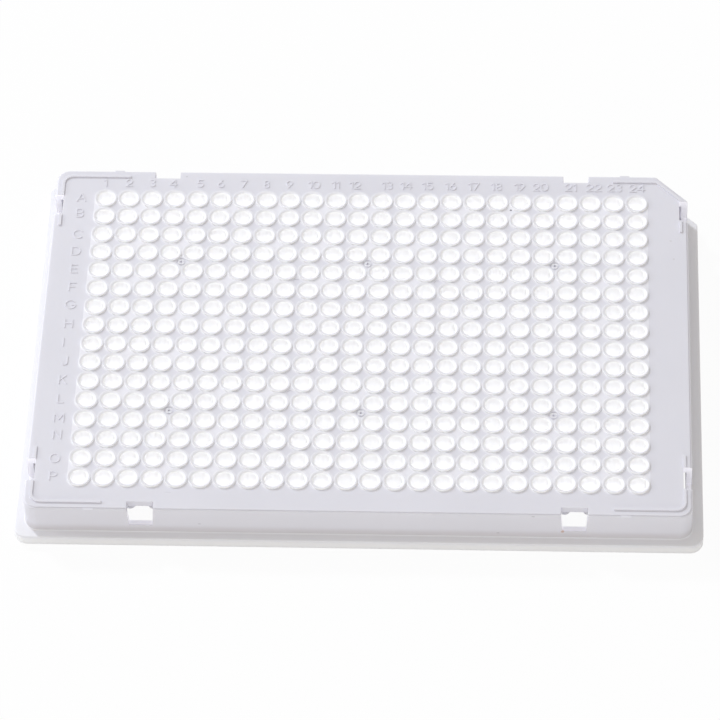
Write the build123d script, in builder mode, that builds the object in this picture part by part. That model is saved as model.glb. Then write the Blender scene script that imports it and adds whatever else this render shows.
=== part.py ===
"""Skirted 384-well plate, one injection moulding.

Frame: millimetres, +Z up. The origin is on the surface the plate stands on, under the
centre of the well grid. Columns 1 to 24 run along +X, and row A lies at the +Y edge.
"""
import os
from math import atan2, degrees

from build123d import *

# ---- well grid --------------------------------------------------------------------------
columns = 24
rows = 16
well_pitch = 4.5

# ---- outside sizes ----------------------------------------------------------------------
footprint_length = 127.76
footprint_width = 85.48
plate_height = 9.2            # from the resting surface to the crest of the collars
collar_height = 0.35
flange_height = 2.15
ledge_length = 2.08           # how far the flange stands out at each end
ledge_width = 1.69            # how far the flange stands out at each long side
cut_ledge = 1.15              # how far the flange stands out along the cut at well A24

# ---- thicknesses, draft and edges -------------------------------------------------------
wall_thickness = 1.08
deck_thickness = 1.4
wall_draft = 0.8              # degrees
flange_edge_radius = 0.25
ledge_fillet = 0.35
shoulder_drop = 0.15          # the deck's field stands this much above its shoulder
merge_depth = 0.15            # how far a raised feature is sunk into what carries it
shoulder_width = 0.47
shoulder_radius = 0.3

# ---- corners ----------------------------------------------------------------------------
corner_radius = 2.6
flange_corner_cut = 8.3       # leg of the 45 degree cut at well A24
cut_end_radius = 1.0

# ---- wells ------------------------------------------------------------------------------
collar_radius = 2.1
rim_land = 0.17               # flat crest of the collar, outside its dished mouth
dish_depth = 0.2
mouth_radius = 1.55           # the well's straight upper part, below the dish
cone_depth = 5.9              # from the deck to where the well starts to taper
tip_radius = 0.72             # flat floor of the well
well_floor_height = 1.0       # inside floor above the resting surface
well_wall = 0.36

# ---- edge windows -----------------------------------------------------------------------
window_width = 5.0
window_sill_width = 4.3
window_sill_height = 4.1
side_window_offset = 40.0     # from the short centre line, windows in the two long sides
end_window_offset = 32.1      # from the long centre line, windows in the two ends
side_window_reach = 1.95      # from the wall's face into the deck
end_window_reach = 1.75

# ---- corner rails -----------------------------------------------------------------------
rail_width = 0.5
rail_height = 0.3
rail_corner_radius = 1.5
rail_cut_reach = 1.37         # from the wall's cut face to the rail's inner face
side_rail_start = 47.2        # from the short centre line to the rails' free ends
end_rail_start = 26.8         # from the long centre line to the short rails' free ends

# ---- small deck features ----------------------------------------------------------------
tab_offset = 49.5             # from the short centre line
tab_width = 1.85
tab_depth = 0.6
tab_thickness = 0.6
tab_drop = 0.1                # how far a tab's top lies below the deck
gate_columns = (4, 12, 20)    # each gate lies between this column and the next
gate_rows = (4, 12)
gate_radius = 0.95
gate_depth = 0.16
gate_boss_radius = 0.62
gate_boss_height = 0.04       # above the deck
gate_pip_radius = 0.22
gate_pip_depth = 0.3          # below the deck
dimple_columns = (9, 15)
dimple_rows = (5, 11)
dimple_radius = 0.64
dimple_depth = 0.1

# ---- raised row letters and column numbers ----------------------------------------------
row_letters = "ABCDEFGHIJKLMNOP"
letter_height = 1.95
number_height = 1.75
stroke_width = 0.2
character_gap = 0.32
label_height = 0.14
letter_offset = 56.55         # from the short centre line
number_offset = 37.82         # from the long centre line
number_lead = 0.2             # how far the numbers sit towards column 1 from their wells
letter_lead = 0.25            # how far the letters sit towards row A from their wells
number_shifts = {1: -0.2, 4: -0.3, 5: 0.45, 10: 0.3, 12: -0.65, 13: 1.1, 14: 0.35,
                 20: -0.5, 21: 0.9, 22: 0.95, 23: 0.45, 24: 0.35}
letter_shifts = {"B": 0.5, "C": -0.35, "D": -0.1, "G": 0.15, "N": 0.55, "O": -0.45}

# A plain single-stroke alphabet, one unit tall. Each character has its width, its straight
# runs as lists of points, and its arcs as (centre x, centre y, radius, start angle, sweep).
alphabet = {
    "0": (0.72, [[(0, 0.36), (0, 0.64)], [(0.72, 0.36), (0.72, 0.64)]],
          [(0.36, 0.64, 0.36, 0, 180), (0.36, 0.36, 0.36, 180, 180)]),
    "1": (0.28, [[(0, 0.78), (0.28, 1), (0.28, 0)]], []),
    "2": (0.74, [[(0.634, 0.512), (0.04, 0), (0.74, 0)]], [(0.38, 0.69, 0.31, -35, 215)]),
    "3": (0.64, [], [(0.36, 0.755, 0.245, -90, 240), (0.36, 0.255, 0.255, -150, 240)]),
    "4": (0.78, [[(0.58, 0), (0.58, 1), (0, 0.3), (0.78, 0.3)]], []),
    "5": (0.69, [[(0.64, 1), (0.13, 1), (0.126, 0.563)]], [(0.36, 0.33, 0.33, -150, 285)]),
    "6": (0.67, [[(0.065, 0.42), (0.5, 1)]], [(0.36, 0.31, 0.31, 0, 360)]),
    "7": (0.7, [[(0, 1), (0.7, 1), (0.22, 0)]], []),
    "8": (0.72, [], [(0.36, 0.76, 0.24, 0, 360), (0.36, 0.26, 0.26, 0, 360)]),
    "9": (0.67, [[(0.605, 0.58), (0.17, 0)]], [(0.31, 0.69, 0.31, 0, 360)]),
    "A": (0.84, [[(0, 0), (0.42, 1), (0.84, 0)], [(0.14, 0.33), (0.7, 0.33)]], []),
    "B": (0.65, [[(0.36, 1), (0, 1), (0, 0), (0.4, 0)], [(0, 0.51), (0.4, 0.51)]],
          [(0.36, 0.755, 0.245, -90, 180), (0.4, 0.255, 0.255, -90, 180)]),
    "C": (0.85, [], [(0.5, 0.5, 0.5, 45, 270)]),
    "D": (0.83, [[(0.33, 1), (0, 1), (0, 0), (0.33, 0)]], [(0.33, 0.5, 0.5, -90, 180)]),
    "E": (0.64, [[(0.62, 1), (0, 1), (0, 0), (0.64, 0)], [(0, 0.52), (0.56, 0.52)]], []),
    "F": (0.62, [[(0.62, 1), (0, 1), (0, 0)], [(0, 0.5), (0.54, 0.5)]], []),
    "G": (1, [[(1, 0.46), (0.6, 0.46)]], [(0.5, 0.5, 0.5, 45, 310)]),
    "H": (0.74, [[(0, 0), (0, 1)], [(0.74, 0), (0.74, 1)], [(0, 0.52), (0.74, 0.52)]], []),
    "I": (0.65, [[(0, 0), (0, 1)]], []),
    "J": (0.5, [[(0.5, 1), (0.5, 0.25)]], [(0.25, 0.25, 0.25, 180, 180)]),
    "K": (0.7, [[(0, 0), (0, 1)], [(0.64, 1), (0, 0.4)], [(0.22, 0.6), (0.7, 0)]], []),
    "L": (0.56, [[(0, 1), (0, 0), (0.56, 0)]], []),
    "M": (0.9, [[(0, 0), (0, 1), (0.45, 0.3), (0.9, 1), (0.9, 0)]], []),
    "N": (0.74, [[(0, 0), (0, 1), (0.74, 0), (0.74, 1)]], []),
    "O": (0.88, [[(0, 0.44), (0, 0.56)], [(0.88, 0.44), (0.88, 0.56)]],
          [(0.44, 0.56, 0.44, 0, 180), (0.44, 0.44, 0.44, 180, 180)]),
    "P": (0.63, [[(0.36, 1), (0, 1), (0, 0)], [(0, 0.46), (0.36, 0.46)]], [(0.36, 0.73, 0.27, -90, 180)]),
}

# ---- worked out from the above ----------------------------------------------------------
diagonal = 2 ** 0.5
deck_top = plate_height - collar_height
rail_top = deck_top + rail_height
dish_radius = collar_radius - rim_land
well_outer_radius = mouth_radius + well_wall
tip_outer_radius = tip_radius + well_wall
tip_bottom = well_floor_height - well_wall
cone_top = deck_top - cone_depth
shoulder_top = deck_top - shoulder_drop
deck_underside = deck_top - deck_thickness
wall_length = footprint_length - 2 * ledge_length
wall_width = footprint_width - 2 * ledge_width
wall_corner_cut = flange_corner_cut - ledge_length - ledge_width + cut_ledge * diagonal
rail_corner_cut = wall_corner_cut - end_window_reach - side_window_reach + rail_cut_reach * diagonal
field_length = wall_length - 2 * shoulder_width
field_width = wall_width - 2 * shoulder_width
rail_length = wall_length - 2 * end_window_reach     # the rails' inner faces meet the windows'
rail_span = wall_width - 2 * side_window_reach
first_column = -(columns - 1) * well_pitch / 2
first_row = (rows - 1) * well_pitch / 2


def inset_cut(corner_cut, inset):
    """Leg of the corner cut once every side of the outline has moved in by inset."""
    return corner_cut - 2 * inset + inset * diagonal


def outline(length, width, radius, corner_cut):
    """Rounded rectangle with its +X +Y corner cut off at 45 degrees."""
    with BuildSketch() as shape:
        Rectangle(length, width)
        chamfer(shape.vertices().sort_by(lambda corner: corner.X + corner.Y)[-1], corner_cut)
        fillet(shape.vertices().sort_by(lambda corner: corner.X + corner.Y)[-2:], cut_end_radius)
        fillet(shape.vertices().sort_by(lambda corner: corner.X + corner.Y)[:3], radius)
    return shape.sketch


flange_outline = outline(footprint_length, footprint_width, corner_radius, flange_corner_cut)
flange_bore = outline(
    footprint_length - 2 * wall_thickness,
    footprint_width - 2 * wall_thickness,
    corner_radius - wall_thickness,
    inset_cut(flange_corner_cut, wall_thickness),
)
wall_outline = outline(wall_length, wall_width, corner_radius, wall_corner_cut)
wall_bore = outline(
    wall_length - 2 * wall_thickness,
    wall_width - 2 * wall_thickness,
    corner_radius - wall_thickness,
    inset_cut(wall_corner_cut, wall_thickness),
)
field_outline = outline(
    field_length,
    field_width,
    corner_radius - shoulder_width,
    inset_cut(wall_corner_cut, shoulder_width),
)
rail_inner = outline(
    rail_length,
    rail_span,
    rail_corner_radius,
    rail_corner_cut,
)
rail_outer = outline(
    rail_length + 2 * rail_width,
    rail_span + 2 * rail_width,
    rail_corner_radius + rail_width,
    inset_cut(rail_corner_cut, -rail_width),
)

# ---- one well: its outside, with the collar, and its bore -------------------------------
with BuildPart() as well_tube:
    with BuildSketch(Plane.XZ):
        with BuildLine():
            Polyline(
                (0, tip_bottom),
                (tip_outer_radius, tip_bottom),
                (well_outer_radius, cone_top),
                (well_outer_radius, deck_top - merge_depth),
                (collar_radius, deck_top - merge_depth),
                (collar_radius, plate_height),
                (0, plate_height),
                close=True,
            )
        make_face()
    revolve()

with BuildPart() as well_bore:
    with BuildSketch(Plane.XZ):
        with BuildLine():
            Polyline(
                (0, well_floor_height),
                (tip_radius, well_floor_height),
                (mouth_radius, cone_top),
                (mouth_radius, plate_height - dish_depth),
                (dish_radius, plate_height),
                (dish_radius, plate_height + collar_height),
                (0, plate_height + collar_height),
                close=True,
            )
        make_face()
    revolve()

# ---- cutter of one edge window, its inner face at y = 0 and its outside towards +Y ------
with BuildPart() as window_cutter:
    with BuildSketch(Plane.XZ):
        with BuildLine():
            Polyline(
                (-window_sill_width / 2, window_sill_height),
                (window_sill_width / 2, window_sill_height),
                (window_width / 2, deck_top),
                (window_width / 2, rail_top),
                (-window_width / 2, rail_top),
                (-window_width / 2, deck_top),
                close=True,
            )
        make_face()
    extrude(amount=-side_window_reach - wall_thickness)

window_places = []
for side in (-1, 1):
    side_x = side * side_window_offset
    end_y = side * end_window_offset
    window_places.append(Location((side_x, rail_span / 2, 0)))
    window_places.append(Location((side_x, -rail_span / 2, 0), (0, 0, 180)))
    window_places.append(Location((rail_length / 2, end_y, 0), (0, 0, -90)))
    window_places.append(Location((-rail_length / 2, end_y, 0), (0, 0, 90)))


def between_wells(column, row):
    """Middle of the four wells at this column and row and the next, both counted from 1."""
    x = (column - columns / 2) * well_pitch
    y = (rows / 2 - row) * well_pitch
    return x, y


def draw_stroke(start, end):
    """Straight stroke with round ends, in the open sketch."""
    run = Vector(end) - Vector(start)
    with Locations(Vector(start) + run / 2):
        SlotCenterToCenter(run.length, stroke_width, rotation=degrees(atan2(run.Y, run.X)))


def draw_arc(centre, radius, start, sweep):
    """Curved stroke with round ends, or a whole ring, in the open sketch."""
    if sweep < 360:
        SlotArc(Edge.make_circle(radius, Plane(centre), start, start + sweep), stroke_width)
        return
    with BuildSketch(mode=Mode.PRIVATE) as ring:
        Circle(radius + stroke_width / 2)
        Circle(radius - stroke_width / 2, mode=Mode.SUBTRACT)
    with Locations(centre):
        add(ring.sketch)


def label_sketch(text, height, x, y):
    """Strokes of a label, centred on x, y."""
    pen = x - (sum(alphabet[c][0] * height for c in text) + character_gap * (len(text) - 1)) / 2
    foot = y - height / 2
    with BuildSketch() as strokes:
        for character in text:
            width, runs, arcs = alphabet[character]
            for points in runs:
                places = [(pen + px * height, foot + py * height) for px, py in points]
                for start, end in zip(places, places[1:]):
                    draw_stroke(start, end)
            for arc_x, arc_y, radius, start, sweep in arcs:
                centre = (pen + arc_x * height, foot + arc_y * height)
                draw_arc(centre, radius * height, start, sweep)
            pen += width * height + character_gap
    return strokes.sketch


labels = []
for column in range(1, columns + 1):
    number_x = first_column + (column - 1) * well_pitch - number_lead + number_shifts.get(column, 0)
    labels.append(label_sketch(str(column), number_height, number_x, number_offset))
for row, letter in enumerate(row_letters):
    letter_y = first_row - row * well_pitch + letter_lead + letter_shifts.get(letter, 0)
    labels.append(label_sketch(letter, letter_height, -letter_offset, letter_y))

gate_places = [between_wells(column, row) for column in gate_columns for row in gate_rows]
dimple_places = [between_wells(column, row) for column in dimple_columns for row in dimple_rows]

# ---- the plate --------------------------------------------------------------------------
with BuildPart() as well_plate:
    # flange, with its top edge eased
    with BuildSketch():
        add(flange_outline)
    extrude(amount=flange_height)
    fillet(well_plate.faces().sort_by(Axis.Z)[-1].edges(), flange_edge_radius)

    # wall, leaning in by its draft, and the shoulder rounded over round the deck
    with BuildSketch(Plane.XY.offset(flange_height)):
        add(wall_outline)
    extrude(amount=shoulder_top - flange_height, taper=wall_draft)
    fillet(well_plate.faces().sort_by(Axis.Z)[-1].edges(), shoulder_radius)
    ledge_face = well_plate.faces().filter_by(Axis.Z).group_by(Axis.Z)[1][0]
    fillet(ledge_face.inner_wires().edges(), ledge_fillet)

    # raised field of the deck, with a tab over the shoulder near each corner
    with BuildSketch(Plane.XY.offset(shoulder_top - merge_depth)):
        add(field_outline)
    extrude(amount=merge_depth + shoulder_drop)
    with BuildSketch(Plane.XY.offset(deck_top - tab_drop - tab_thickness)):
        with GridLocations(2 * tab_offset, wall_width - tab_depth, 2, 2):
            Rectangle(tab_width, tab_depth)
    extrude(amount=tab_thickness)

    # rails round the four corners
    with BuildSketch(Plane.XY.offset(deck_top - merge_depth)):
        add(rail_outer)
        add(rail_inner, mode=Mode.SUBTRACT)
        Rectangle(2 * side_rail_start, footprint_width, mode=Mode.SUBTRACT)
        Rectangle(footprint_length, 2 * end_rail_start, mode=Mode.SUBTRACT)
    extrude(amount=merge_depth + rail_height)

    # hollow underside
    with BuildSketch():
        add(flange_bore)
    extrude(amount=flange_height - wall_thickness, mode=Mode.SUBTRACT)
    with BuildSketch():
        add(wall_bore)
    extrude(amount=deck_underside, mode=Mode.SUBTRACT)

    # wells
    with GridLocations(well_pitch, well_pitch, columns, rows):
        add(well_tube.part)
    with GridLocations(well_pitch, well_pitch, columns, rows):
        add(well_bore.part, mode=Mode.SUBTRACT)

    # edge windows, through the deck's rim and the upper wall
    with Locations(window_places):
        add(window_cutter.part, mode=Mode.SUBTRACT)

    # gate recesses, each with a round boss and a pip hole, and ejector dimples
    with BuildSketch(Plane.XY.offset(deck_top)):
        with Locations(gate_places):
            Circle(gate_radius)
    extrude(amount=-gate_depth, mode=Mode.SUBTRACT)
    with BuildSketch(Plane.XY.offset(deck_top + gate_boss_height)):
        with Locations(gate_places):
            Circle(gate_boss_radius)
    extrude(amount=-gate_boss_height - gate_depth - merge_depth)
    with BuildSketch(Plane.XY.offset(deck_top + gate_boss_height)):
        with Locations(gate_places):
            Circle(gate_pip_radius)
    extrude(amount=-gate_boss_height - gate_pip_depth, mode=Mode.SUBTRACT)
    with BuildSketch(Plane.XY.offset(deck_top)):
        with Locations(dimple_places):
            Circle(dimple_radius)
    extrude(amount=-dimple_depth, mode=Mode.SUBTRACT)

    # raised column numbers and row letters
    with BuildSketch(Plane.XY.offset(deck_top - merge_depth)):
        add(labels)
    extrude(amount=merge_depth + label_height)

well_plate.part.label = "well_plate"
os.makedirs("parts", exist_ok=True)
export_step(well_plate.part, "parts/well_plate.step")
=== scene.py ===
"""Looks of a skirted 384-well plate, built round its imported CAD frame.

The plate is one moulding, so it stays one CAD node. This file gives that node its finish and
sets up the studio round it: a pale floor, soft lamps and a camera above the long front side.

Frame: metres, +Z up, the origin on the floor under the middle of the well grid. Columns 1 to
24 run along +X, and row A lies at the +Y edge. A name that ends in _mm holds millimetres.
"""

import logging
import math
from dataclasses import dataclass, field
from enum import Enum
from typing import Any

import bpy
from mathutils import Matrix, Vector

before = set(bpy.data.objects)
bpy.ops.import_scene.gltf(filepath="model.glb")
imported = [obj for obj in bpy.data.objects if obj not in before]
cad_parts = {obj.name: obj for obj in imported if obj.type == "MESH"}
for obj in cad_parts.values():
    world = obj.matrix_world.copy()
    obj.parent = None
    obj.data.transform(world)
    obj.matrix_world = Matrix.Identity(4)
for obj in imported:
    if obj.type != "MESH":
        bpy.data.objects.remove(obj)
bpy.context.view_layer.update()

MM = 0.001
NODE = "well_plate"
CUP_BOUNCES = 16  # the wells are deep white cups, and light turns many times before it leaves
log = logging.getLogger("well_plate")

Tree = bpy.types.NodeTree
Socket = bpy.types.NodeSocket
Value = Socket | float
Axes = tuple[Socket, ...]


def linear(hex_colour: str) -> tuple[float, float, float, float]:
    """Turns an sRGB hex colour to linear light.

    Args:
        hex_colour: six hex digits, with or without a leading #.

    Returns:
        Red, green, blue and an alpha of 1.
    """
    digits = hex_colour.lstrip("#")
    channels = [int(digits[i : i + 2], 16) / 255 for i in (0, 2, 4)]
    lit = [c / 12.92 if c <= 0.04045 else ((c + 0.055) / 1.055) ** 2.4 for c in channels]
    return lit[0], lit[1], lit[2], 1.0


def add_node(
    tree: Tree,
    kind: str,
    settings: dict[str, Any] | None = None,
    inputs: dict[Any, Any] | None = None,
) -> bpy.types.Node:
    """Adds a node with its settings, values and links.

    Args:
        tree: the node tree that gets the node.
        kind: the node's type name.
        settings: attributes of the node itself.
        inputs: for each input's name or number, a value or the output socket to link.

    Returns:
        The new node.
    """
    node = tree.nodes.new(kind)
    for name, value in (settings or {}).items():
        setattr(node, name, value)
    for key, value in (inputs or {}).items():
        if isinstance(value, Socket):
            tree.links.new(value, node.inputs[key])
        else:
            node.inputs[key].default_value = value
    return node


def direction(azimuth: float, elevation: float) -> Vector:
    """Points from the plate towards a lamp or the camera.

    Args:
        azimuth: degrees round the plate, from +X towards +Y.
        elevation: degrees above the floor.

    Returns:
        The unit vector.
    """
    turn, rise = math.radians(azimuth), math.radians(elevation)
    level = math.cos(rise)
    return Vector((math.cos(turn) * level, math.sin(turn) * level, math.sin(rise)))


class Side(Enum):
    """The pair of sides that windows are cut in. The value is the axis that they face along."""

    ENDS = 0
    LONG_SIDES = 1


@dataclass(frozen=True)
class Mark:
    """A small fleck of dirt or a scuff on the plate.

    place_mm is measured from the origin, and size_mm holds its radii along the same axes.
    """

    place_mm: tuple[float, float, float]
    size_mm: tuple[float, float, float]
    colour: str
    strength: float


@dataclass(frozen=True)
class PaintedGlowBox:
    """A space at or behind the edge windows that gets a painted glow, for the light that reaches
    it through the thin plastic.

    It is mirrored to both sides of the plate's middle. middle_mm and half_width_mm run along
    the wall, reach_mm runs outwards across it, and heights_mm are above the foot.
    """

    side: Side
    middle_mm: float
    half_width_mm: float
    reach_mm: tuple[float, float]
    heights_mm: tuple[float, float]
    glow: float


@dataclass(frozen=True)
class MouldedPolypropylene:
    """Filled white polypropylene, injection moulded in a finely eroded mould.

    The frame's pigment gives a cool pale grey. The wells are painted whiter, as light that their
    thin walls let through. The eroded mould leaves a fine satin grain, so highlights are broad and
    soft. The thin walls let a little light through, which softens the small steps.

    Colours are sRGB hex, heights are above the foot, and a share runs from 0 to 1.
    """

    # the frame; the white painted as light on the wells, collars, foot and ledge, for light
    # through the thin plastic; the dished rims; the painted glow; the paler diamonds between the
    # wells, painted paler still to lift the collars' shadows; and the painted shade in the wall's
    # foot
    frame_colour: str = "E3E2E9"
    painted_light_colour: str = "FFFFFF"
    dish_colour: str = "F3F2F7"
    painted_glow_colour: str = "F8F7FD"
    site_and_light_colour: str = "F0EFF5"
    corner_shade_colour: str = "B9B0AC"
    # the satin skin, and the light that scatters under it, a little further for red
    ior: float = 1.49
    roughness: float = 0.42
    subsurface: float = 0.25
    scatter_mm: float = 1.2
    scatter_by_colour: tuple[float, float, float] = (1.0, 0.95, 0.9)
    grain_mm: float = 0.25
    grain_depth_mm: float = 0.004
    grain_detail: float = 2.0
    # the pigment's faint clouds: their size, and the brightness at the noise's low and high
    mottle_mm: float = 14.0
    mottle_detail: float = 3.0
    mottle_noise: tuple[float, float] = (0.3, 0.7)
    mottle_level: tuple[float, float] = (0.985, 1.01)
    # the grid: its pitch, and its length and width, 0.1 mm less than all the cells together
    well_pitch_mm: float = 4.5
    grid_length_mm: float = 107.9
    grid_width_mm: float = 71.9
    # radii of the well's white wall and of its dished rim, and how softly both end
    well_edge_mm: float = 1.6
    dish_edge_mm: float = 1.9
    edge_blur_mm: float = 0.06
    # a painted glow in the bores, for the light that comes through the tubes' walls
    bore_edge_mm: float = 1.62
    bore_top_mm: float = 7.45
    bore_foot_mm: float = 3.0
    painted_bore_glow: float = 0.1
    # a painted glow on each window's own cut faces, and then on the space behind it
    painted_glow_boxes: tuple[PaintedGlowBox, ...] = (
        PaintedGlowBox(Side.ENDS, 32.1, 2.56, (59.9, 61.68), (4.05, 8.84), 0.28),
        PaintedGlowBox(Side.ENDS, 32.1, 4.5, (50.0, 59.9), (0.3, 7.44), 0.28),
        PaintedGlowBox(Side.LONG_SIDES, 40.0, 2.56, (39.9, 40.93), (4.05, 7.44), 0.25),
        PaintedGlowBox(Side.LONG_SIDES, 40.0, 6.0, (31.0, 39.9), (0.3, 7.44), 0.3),
    )
    # painted light: the collars stand above collar_foot_mm and are painted white from
    # collar_face_mm outwards, and a weaker painted halo lies on the deck round them as far as
    # collar_halo_mm, lifting their shadows
    collar_foot_mm: float = 8.87
    collar_face_mm: float = 2.06
    collar_halo_mm: float = 2.65
    painted_halo_share: float = 0.36
    # painted light, for light from the floor through the thin skirt: the foot is paler up to
    # foot_full_mm and fades to the frame's colour at foot_top_mm, and the ledge is paler between
    # its own two heights
    foot_top_mm: float = 2.9
    foot_full_mm: float = 0.8
    foot_light_share: float = 0.75
    ledge_mm: tuple[float, float] = (2.1, 2.3)
    ledge_light_share: float = 0.45
    # painted shade in the wall's foot above the ledge: where it starts, where it starts to fade,
    # and where it ends
    corner_shade_mm: tuple[float, float, float] = (2.3, 2.6, 4.4)
    corner_shade_share: float = 0.32
    # where a paler diamond has half faded, and the share of a mark's radius at full strength
    site_reach_mm: float = 1.7
    mark_core: float = 0.45
    marks: tuple[Mark, ...] = (
        Mark((27.39, 31.9, 8.85), (0.28, 0.24, 0.3), "4A4A52", 0.85),
        Mark((58.32, 24.62, 8.85), (0.3, 0.2, 0.3), "C6C2C4", 0.5),
        Mark((58.85, 20.11, 8.85), (0.25, 0.25, 0.3), "C6C2C4", 0.5),
        Mark((-36.24, 39.6, 8.85), (0.3, 0.2, 0.3), "BDBBC0", 0.5),
        Mark((-35.0, -36.9, 8.85), (0.9, 0.12, 0.3), "C9C7CE", 0.4),
        Mark((37.88, -41.0, 3.94), (0.42, 0.5, 0.42), "C08A5A", 0.55),
        Mark((32.46, -41.0, 8.4), (0.5, 0.5, 0.12), "8E8C90", 0.6),
        Mark((26.01, -41.0, 3.28), (0.4, 0.5, 0.12), "8E8C90", 0.5),
        Mark((-29.11, -41.0, 4.7), (0.4, 0.5, 0.12), "8E8C90", 0.5),
    )

    def material(self, name: str) -> bpy.types.Material:
        """Builds the material.

        Args:
            name: the material's name.

        Returns:
            The finished material.
        """
        made = bpy.data.materials.new(name)
        made.use_nodes = True
        tree = made.node_tree
        tree.nodes.clear()
        place = add_node(tree, "ShaderNodeTexCoord").outputs["Object"]
        axes = tuple(add_node(tree, "ShaderNodeSeparateXYZ", inputs={0: place}).outputs)
        radius = self._well_radius(tree, axes)
        colour = self._colour(tree, place, axes, radius)
        # painted glow: emission in the bores and windows, for light through the thin walls
        glow = self._painted_glow(tree, axes, radius)
        grain = add_node(
            tree,
            "ShaderNodeTexNoise",
            inputs={
                "Vector": place,
                "Scale": 1 / (self.grain_mm * MM),
                "Detail": self.grain_detail,
            },
        )
        bump = add_node(
            tree,
            "ShaderNodeBump",
            inputs={
                "Height": grain.outputs["Fac"],
                "Strength": 1.0,
                "Distance": self.grain_depth_mm * MM,
            },
        )
        surface = add_node(
            tree,
            "ShaderNodeBsdfPrincipled",
            inputs={
                "Base Color": colour,
                "Normal": bump.outputs["Normal"],
                "Roughness": self.roughness,
                "IOR": self.ior,
                "Subsurface Weight": self.subsurface,
                "Subsurface Scale": self.scatter_mm * MM,
                "Subsurface Radius": self.scatter_by_colour,
                "Emission Color": linear(self.painted_glow_colour),
                "Emission Strength": glow,
            },
        )
        add_node(tree, "ShaderNodeOutputMaterial", inputs={"Surface": surface.outputs[0]})
        return made

    def _math(self, tree: Tree, operation: str, *values: Value) -> Socket:
        """Adds one sum to the tree and returns its output."""
        settings = {"operation": operation}
        return add_node(tree, "ShaderNodeMath", settings, dict(enumerate(values))).outputs[0]

    def _ramp(self, tree: Tree, value: Value, low: float, high: float) -> Socket:
        """Falls smoothly from 1 at low to 0 at high."""
        made = add_node(
            tree,
            "ShaderNodeMapRange",
            {"interpolation_type": "SMOOTHSTEP"},
            {0: value, 1: low, 2: high, 3: 1.0, 4: 0.0},
        )
        return made.outputs[0]

    def _from_lattice(self, tree: Tree, axis: Socket, pitch_mm: float, shift: float) -> Socket:
        """Distance in millimetres along one axis to the nearest line of a lattice.

        Args:
            tree: the material's node tree.
            axis: the coordinate's socket, in metres.
            pitch_mm: spacing of the lattice.
            shift: the lattice's offset, as a share of its spacing.

        Returns:
            The distance's socket.
        """
        turns = self._math(tree, "MULTIPLY_ADD", axis, 1 / (pitch_mm * MM), shift)
        near = self._math(tree, "PINGPONG", turns, 0.5)
        return self._math(tree, "MULTIPLY", near, pitch_mm)

    def _well_radius(self, tree: Tree, axes: Axes) -> Socket:
        """Distance in millimetres to the axis of the nearest well.

        Args:
            tree: the material's node tree.
            axes: the three Object coordinates.

        Returns:
            The distance's socket.
        """
        across = self._from_lattice(tree, axes[0], self.well_pitch_mm, 0.5)
        along = self._from_lattice(tree, axes[1], self.well_pitch_mm, 0.5)
        squared = self._math(tree, "MULTIPLY", along, along)
        return self._math(tree, "SQRT", self._math(tree, "MULTIPLY_ADD", across, across, squared))

    def _between(self, tree: Tree, value: Value, low_mm: float, high_mm: float) -> Socket:
        """1 where a coordinate lies between two heights or reaches, else 0.

        Args:
            tree: the material's node tree.
            value: the coordinate, in metres.
            low_mm: the lower limit.
            high_mm: the upper limit.

        Returns:
            The mask's socket.
        """
        above = self._math(tree, "GREATER_THAN", value, low_mm * MM)
        below = self._math(tree, "LESS_THAN", value, high_mm * MM)
        return self._math(tree, "MULTIPLY", above, below)

    def _painted_glow(self, tree: Tree, axes: Axes, radius: Socket) -> Socket:
        """Strength of the painted glow that stands for light through the thin walls into bores and
        windows.

        Args:
            tree: the material's node tree.
            axes: the three Object coordinates.
            radius: distance to the axis of the nearest well.

        Returns:
            The strength's socket.
        """
        cups = self._well_mask(tree, axes, radius, self.bore_edge_mm)
        deep = self._between(tree, axes[2], self.bore_foot_mm, self.bore_top_mm)
        bore = self._math(tree, "MULTIPLY", cups, deep)
        bore = self._math(tree, "MULTIPLY", bore, self.painted_bore_glow)
        outside = self._math(tree, "SUBTRACT", 1.0, cups)
        return self._math(tree, "MULTIPLY_ADD", self._painted_window_glow(tree, axes), outside, bore)

    def _painted_window_glow(self, tree: Tree, axes: Axes) -> Value:
        """Strength of the painted glow on the edge windows' cut faces and just behind them.

        Args:
            tree: the material's node tree.
            axes: the three Object coordinates.

        Returns:
            The strength's socket.
        """
        reach = [self._math(tree, "ABSOLUTE", axes[i]) for i in (0, 1)]
        found: Value = 0.0
        for box in self.painted_glow_boxes:
            across = box.side.value
            left, right = box.middle_mm - box.half_width_mm, box.middle_mm + box.half_width_mm
            within = self._between(tree, reach[1 - across], left, right)
            behind = self._between(tree, reach[across], *box.reach_mm)
            high = self._between(tree, axes[2], *box.heights_mm)
            both = self._math(tree, "MULTIPLY", self._math(tree, "MULTIPLY", within, behind), high)
            found = self._math(tree, "MULTIPLY_ADD", both, box.glow, found)
        return found

    def _on_grid(self, tree: Tree, axes: Axes, mask: Socket) -> Socket:
        """Keeps a mask inside the well grid.

        Args:
            tree: the material's node tree.
            axes: the three Object coordinates.
            mask: the mask to limit.

        Returns:
            The limited mask's socket.
        """
        for axis, length_mm in ((axes[0], self.grid_length_mm), (axes[1], self.grid_width_mm)):
            reach = self._math(tree, "ABSOLUTE", axis)
            inside = self._math(tree, "LESS_THAN", reach, length_mm / 2 * MM)
            mask = self._math(tree, "MULTIPLY", mask, inside)
        return mask

    def _well_mask(self, tree: Tree, axes: Axes, radius: Socket, edge_mm: float) -> Socket:
        """1 on the wells out to a radius in millimetres, 0 on the frame."""
        mask = self._ramp(tree, radius, edge_mm, edge_mm + self.edge_blur_mm)
        return self._on_grid(tree, axes, mask)

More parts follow.
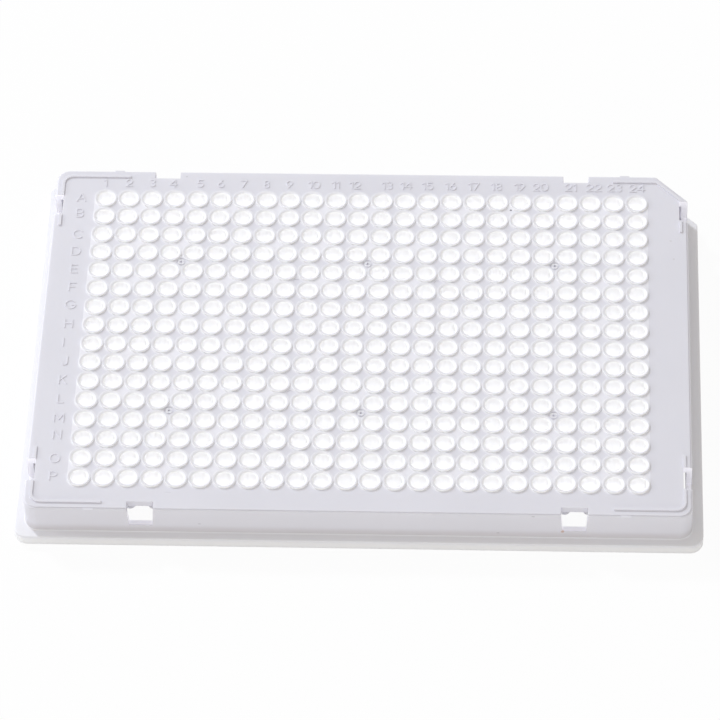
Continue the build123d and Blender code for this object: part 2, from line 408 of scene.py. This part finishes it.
    def _site_mask(self, tree: Tree, axes: Axes) -> Socket:
        """1 at the middle of each paler diamond. One lies among each two by two wells.

        Args:
            tree: the material's node tree.
            axes: the three Object coordinates.

        Returns:
            The mask's socket.
        """
        pitch_mm = 2 * self.well_pitch_mm
        across = self._from_lattice(tree, axes[0], pitch_mm, 0.0)
        along = self._from_lattice(tree, axes[1], pitch_mm, 0.5)
        reach = self._math(tree, "ADD", across, along)
        return self._on_grid(tree, axes, self._ramp(tree, reach, 0.0, 2 * self.site_reach_mm))

    def _collar_light_mask(self, tree: Tree, axes: Axes, radius: Socket) -> Socket:
        """Painted light: 1 on the collars' outer faces, and a weaker painted halo on the deck
        round them that lifts their shadows.

        Args:
            tree: the material's node tree.
            axes: the three Object coordinates.
            radius: distance to the axis of the nearest well.

        Returns:
            The mask's socket.
        """
        reach = self._well_mask(tree, axes, radius, self.collar_halo_mm)
        halo = self._ramp(tree, radius, self.collar_face_mm, self.collar_halo_mm)
        raised = self._math(tree, "GREATER_THAN", axes[2], self.collar_foot_mm * MM)
        level = self._math(tree, "MULTIPLY", halo, self.painted_halo_share)
        level = self._math(tree, "MAXIMUM", level, raised)
        outside = self._math(tree, "GREATER_THAN", radius, self.collar_face_mm)
        level = self._math(tree, "MULTIPLY", level, outside)
        return self._math(tree, "MULTIPLY", level, reach)

    def _pigment(self, tree: Tree, place: Socket, axes: Axes) -> Socket:
        """The frame's colour with its paler sites, painted paler still to lift the collars'
        shadows, and a faint mottle.

        Args:
            tree: the material's node tree.
            place: the Object coordinates.
            axes: their three separate outputs.

        Returns:
            The colour's socket.
        """
        mottle = add_node(
            tree,
            "ShaderNodeTexNoise",
            inputs={
                "Vector": place,
                "Scale": 1 / (self.mottle_mm * MM),
                "Detail": self.mottle_detail,
            },
        )
        limits = dict(enumerate((*self.mottle_noise, *self.mottle_level), start=1))
        level = add_node(
            tree, "ShaderNodeMapRange", inputs={0: mottle.outputs["Fac"], **limits}
        ).outputs[0]
        sites = self._site_mask(tree, axes)
        # the diamonds are paler, and painted paler still as light that lifts the collars' shadows
        colour = self._mix(tree, sites, linear(self.frame_colour), linear(self.site_and_light_colour))
        return self._mix(tree, 1.0, colour, level, "MULTIPLY")

    def _skirt(self, tree: Tree, height: Socket, colour: Socket) -> Socket:
        """Paints light on the foot and the ledge, making them paler, and paints shade in the
        wall's foot.

        Args:
            tree: the material's node tree.
            height: the coordinate above the foot, in metres.
            colour: the colour so far.

        Returns:
            The new colour's socket.
        """
        # painted light: the foot and the ledge are made paler, for light from the floor through
        # the thin skirt
        foot = self._ramp(tree, height, self.foot_full_mm * MM, self.foot_top_mm * MM)
        foot = self._math(tree, "MULTIPLY", foot, self.foot_light_share)
        ledge = self._between(tree, height, *self.ledge_mm)
        ledge = self._math(tree, "MULTIPLY", ledge, self.ledge_light_share)
        pale = self._math(tree, "MAXIMUM", foot, ledge)
        colour = self._mix(tree, pale, colour, linear(self.painted_light_colour))
        # painted shade: a warm darker band where the wall rises from the ledge
        low_mm, full_mm, top_mm = self.corner_shade_mm
        above = self._math(tree, "GREATER_THAN", height, low_mm * MM)
        corner_shade = self._ramp(tree, height, full_mm * MM, top_mm * MM)
        corner_shade = self._math(tree, "MULTIPLY", corner_shade, above)
        corner_shade = self._math(tree, "MULTIPLY", corner_shade, self.corner_shade_share)
        return self._mix(tree, corner_shade, colour, linear(self.corner_shade_colour))

    def _colour(self, tree: Tree, place: Socket, axes: Axes, radius: Socket) -> Socket:
        """Lays the pigment, the skirt's painted light and shade, the collars' painted light, the
        wells' painted white and the marks.

        Args:
            tree: the material's node tree.
            place: the Object coordinates.
            axes: their three separate outputs.
            radius: distance to the axis of the nearest well.

        Returns:
            The colour's socket.
        """
        white = linear(self.painted_light_colour)
        colour = self._skirt(tree, axes[2], self._pigment(tree, place, axes))
        # painted light: white on the collars' outer faces and a paler halo round them on the deck
        colour = self._mix(tree, self._collar_light_mask(tree, axes, radius), colour, white)
        dishes = self._well_mask(tree, axes, radius, self.dish_edge_mm)
        colour = self._mix(tree, dishes, colour, linear(self.dish_colour))
        # painted light: the wells are made white, for the light that their thin walls let through
        wells = self._well_mask(tree, axes, radius, self.well_edge_mm)
        colour = self._mix(tree, wells, colour, white)
        for mark in self.marks:
            mask = self._mark_mask(tree, place, mark)
            colour = self._mix(tree, mask, colour, linear(mark.colour))
        return colour

    def _mix(
        self, tree: Tree, share: Value, first: Any, second: Any, blend: str = "MIX"
    ) -> Socket:
        """Mixes two colours.

        Args:
            tree: the material's node tree.
            share: how much of the second colour is laid, from 0 to 1.
            first: the colour below.
            second: the colour laid over it.
            blend: the way the second is laid.

        Returns:
            The result's socket.
        """
        settings = {"data_type": "RGBA", "blend_type": blend}
        inputs = {0: share, 6: first, 7: second}
        return add_node(tree, "ShaderNodeMix", settings, inputs).outputs[2]

    def _mark_mask(self, tree: Tree, place: Socket, mark: Mark) -> Socket:
        """The mark's strength over its core, falling to 0 at its edge.

        Args:
            tree: the material's node tree.
            place: the Object coordinates.
            mark: the mark to lay.

        Returns:
            The mask's socket.
        """
        scale = [1 / (radius * MM) for radius in mark.size_mm]
        offset = [-at * MM * factor for at, factor in zip(mark.place_mm, scale)]
        local = add_node(
            tree,
            "ShaderNodeMapping",
            inputs={"Vector": place, "Location": offset, "Scale": scale},
        )
        length = add_node(
            tree, "ShaderNodeVectorMath", {"operation": "LENGTH"}, {0: local.outputs[0]}
        )
        soft = self._ramp(tree, length.outputs["Value"], self.mark_core, 1.0)
        return self._math(tree, "MULTIPLY", soft, mark.strength)


@dataclass
class WellPlate:
    """The moulded plate: the CAD node with its finish."""

    finish: MouldedPolypropylene = field(default_factory=MouldedPolypropylene)

    def dress(self) -> bpy.types.Object:
        """Gives the CAD node its material in every slot.

        Returns:
            The CAD node's object.
        """
        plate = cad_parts[NODE]
        material = self.finish.material("moulded_white_polypropylene")
        if not plate.material_slots:
            plate.data.materials.append(material)
        for slot in plate.material_slots:
            slot.material = material
        log.info("%s: %d faces dressed", plate.name, len(plate.data.polygons))
        return plate


@dataclass(frozen=True)
class Lamp:
    """A square soft box aimed at the middle of the plate's foot.

    Angles are degrees, distance and width are metres, and share is the part of a level white
    surface's brightness that the lamp gives.
    """

    name: str
    azimuth: float
    elevation: float
    share: float
    width: float
    colour: str = "FFFFFF"
    distance: float = 2.0

    def build(self) -> bpy.types.Object:
        """Makes the lamp.

        Returns:
            The lamp's object.
        """
        out = direction(self.azimuth, self.elevation)
        data = bpy.data.lights.new(self.name, "AREA")
        data.shape = "SQUARE"
        data.size = self.width
        rise = math.sin(math.radians(self.elevation))
        data.energy = self.share * (math.pi * self.distance) ** 2 / rise
        data.color = linear(self.colour)[:3]
        lamp = bpy.data.objects.new(self.name, data)
        lamp.location = out * self.distance
        lamp.rotation_euler = (-out).to_track_quat("-Z", "Y").to_euler()
        bpy.context.scene.collection.objects.link(lamp)
        return lamp


@dataclass
class Studio:
    """A white floor under soft light, with a white surround.

    floor_glow is the share of plain white that the floor shows where it is seen, which leaves
    the rest to the plate's shadow. sky is the surround's strength as a light.
    """

    floor_size: float = 4.0
    floor_colour: str = "F7F7F7"
    floor_glow: float = 0.94
    sky: float = 0.55
    sky_colour: str = "FFFCF7"
    lamps: tuple[Lamp, ...] = (
        Lamp("key_lamp", 132.0, 40.0, 0.32, 0.2, "F1F6FF"),
        Lamp("low_lamp", 172.0, 18.0, 0.065, 0.3, "F1F6FF"),
        Lamp("front_lamp", 270.0, 13.0, 0.038, 0.6),
    )

    def build(self) -> None:
        """Makes the floor, the surround and the lamps."""
        self._floor()
        self._surround()
        for lamp in self.lamps:
            lamp.build()
        log.info("studio: floor, surround and %d lamps", len(self.lamps))

    def _seen(self, tree: Tree) -> Socket:
        """1 for a ray that shows the background itself, straight, mirrored or through glass.

        Args:
            tree: the node tree of the floor or the surround.

        Returns:
            The mask's socket.
        """
        path = add_node(tree, "ShaderNodeLightPath").outputs
        seen = path["Is Camera Ray"]
        for name in ("Is Glossy Ray", "Is Transmission Ray"):
            seen = add_node(
                tree, "ShaderNodeMath", {"operation": "MAXIMUM"}, {0: seen, 1: path[name]}
            ).outputs[0]
        return seen

    def _floor(self) -> None:
        """Adds the floor, white where it is seen and keeping the plate's shadow."""
        bpy.ops.object.select_all(action="DESELECT")
        bpy.ops.mesh.primitive_plane_add(size=self.floor_size, location=(0.0, 0.0, 0.0))
        floor = bpy.context.active_object
        floor.name = "studio_floor"
        material = bpy.data.materials.new("white_studio_floor")
        material.use_nodes = True
        tree = material.node_tree
        tree.nodes.clear()
        matt = add_node(tree, "ShaderNodeBsdfDiffuse", inputs={0: linear(self.floor_colour)})
        glow = add_node(tree, "ShaderNodeEmission", inputs={0: linear("FFFFFF"), 1: 1.0})
        share = add_node(
            tree,
            "ShaderNodeMath",
            {"operation": "MULTIPLY"},
            {0: self._seen(tree), 1: self.floor_glow},
        )
        both = add_node(
            tree,
            "ShaderNodeMixShader",
            inputs={0: share.outputs[0], 1: matt.outputs[0], 2: glow.outputs[0]},
        )
        add_node(tree, "ShaderNodeOutputMaterial", inputs={0: both.outputs[0]})
        floor.data.materials.append(material)

    def _surround(self) -> None:
        """Sets the world: white where it is seen, and a plain even light elsewhere."""
        world = bpy.data.worlds.new("white_surround")
        bpy.context.scene.world = world
        world.use_nodes = True
        tree = world.node_tree
        tree.nodes.clear()
        path = self._seen(tree)
        level = add_node(tree, "ShaderNodeMapRange", inputs={0: path, 3: self.sky, 4: 1.0})
        tint = add_node(
            tree,
            "ShaderNodeMix",
            {"data_type": "RGBA"},
            {0: path, 6: linear(self.sky_colour), 7: linear("FFFFFF")},
        )
        glow = add_node(
            tree,
            "ShaderNodeBackground",
            inputs={0: tint.outputs[2], 1: level.outputs[0]},
        )
        add_node(tree, "ShaderNodeOutputWorld", inputs={0: glow.outputs[0]})


@dataclass
class ViewCamera:
    """A long lens above the front of the plate, aimed a little in front of its middle.

    Angles are degrees, lens and sensor are millimetres, and the rest is metres.
    """

    target: tuple[float, float, float] = (-0.000592, -0.005694, 0.0092)
    distance: float = 0.758379
    azimuth: float = -86.0172
    elevation: float = 52.0781
    roll: float = -2.4113
    lens: float = 200.727
    sensor: float = 36.0
    clip: tuple[float, float] = (0.05, 20.0)

    def build(self) -> bpy.types.Object:
        """Makes the scene's camera.

        Returns:
            The camera's object.
        """
        back = direction(self.azimuth, self.elevation)
        data = bpy.data.cameras.new("view_camera")
        data.lens = self.lens
        data.sensor_width = self.sensor
        data.clip_start, data.clip_end = self.clip
        camera = bpy.data.objects.new("view_camera", data)
        aim = (-back).to_track_quat("-Z", "Y").to_matrix()
        tilt = Matrix.Rotation(math.radians(self.roll), 3, "Z")
        place = Matrix.Translation(Vector(self.target) + back * self.distance)
        camera.matrix_world = place @ (aim @ tilt).to_4x4()
        bpy.context.scene.collection.objects.link(camera)
        bpy.context.scene.camera = camera
        log.info("%s: %.0f mm lens, %.2f m away", camera.name, self.lens, self.distance)
        return camera


def main() -> None:
    """Builds the camera, the plate and the studio in order."""
    logging.basicConfig(level=logging.INFO, format="%(name)s: %(message)s")
    scene = bpy.context.scene
    scene.view_settings.view_transform = "Standard"
    scene.cycles.diffuse_bounces = CUP_BOUNCES
    scene.cycles.max_bounces = CUP_BOUNCES
    ViewCamera().build()
    WellPlate().dress()
    Studio().build()


if __name__ == "__main__":
    main()
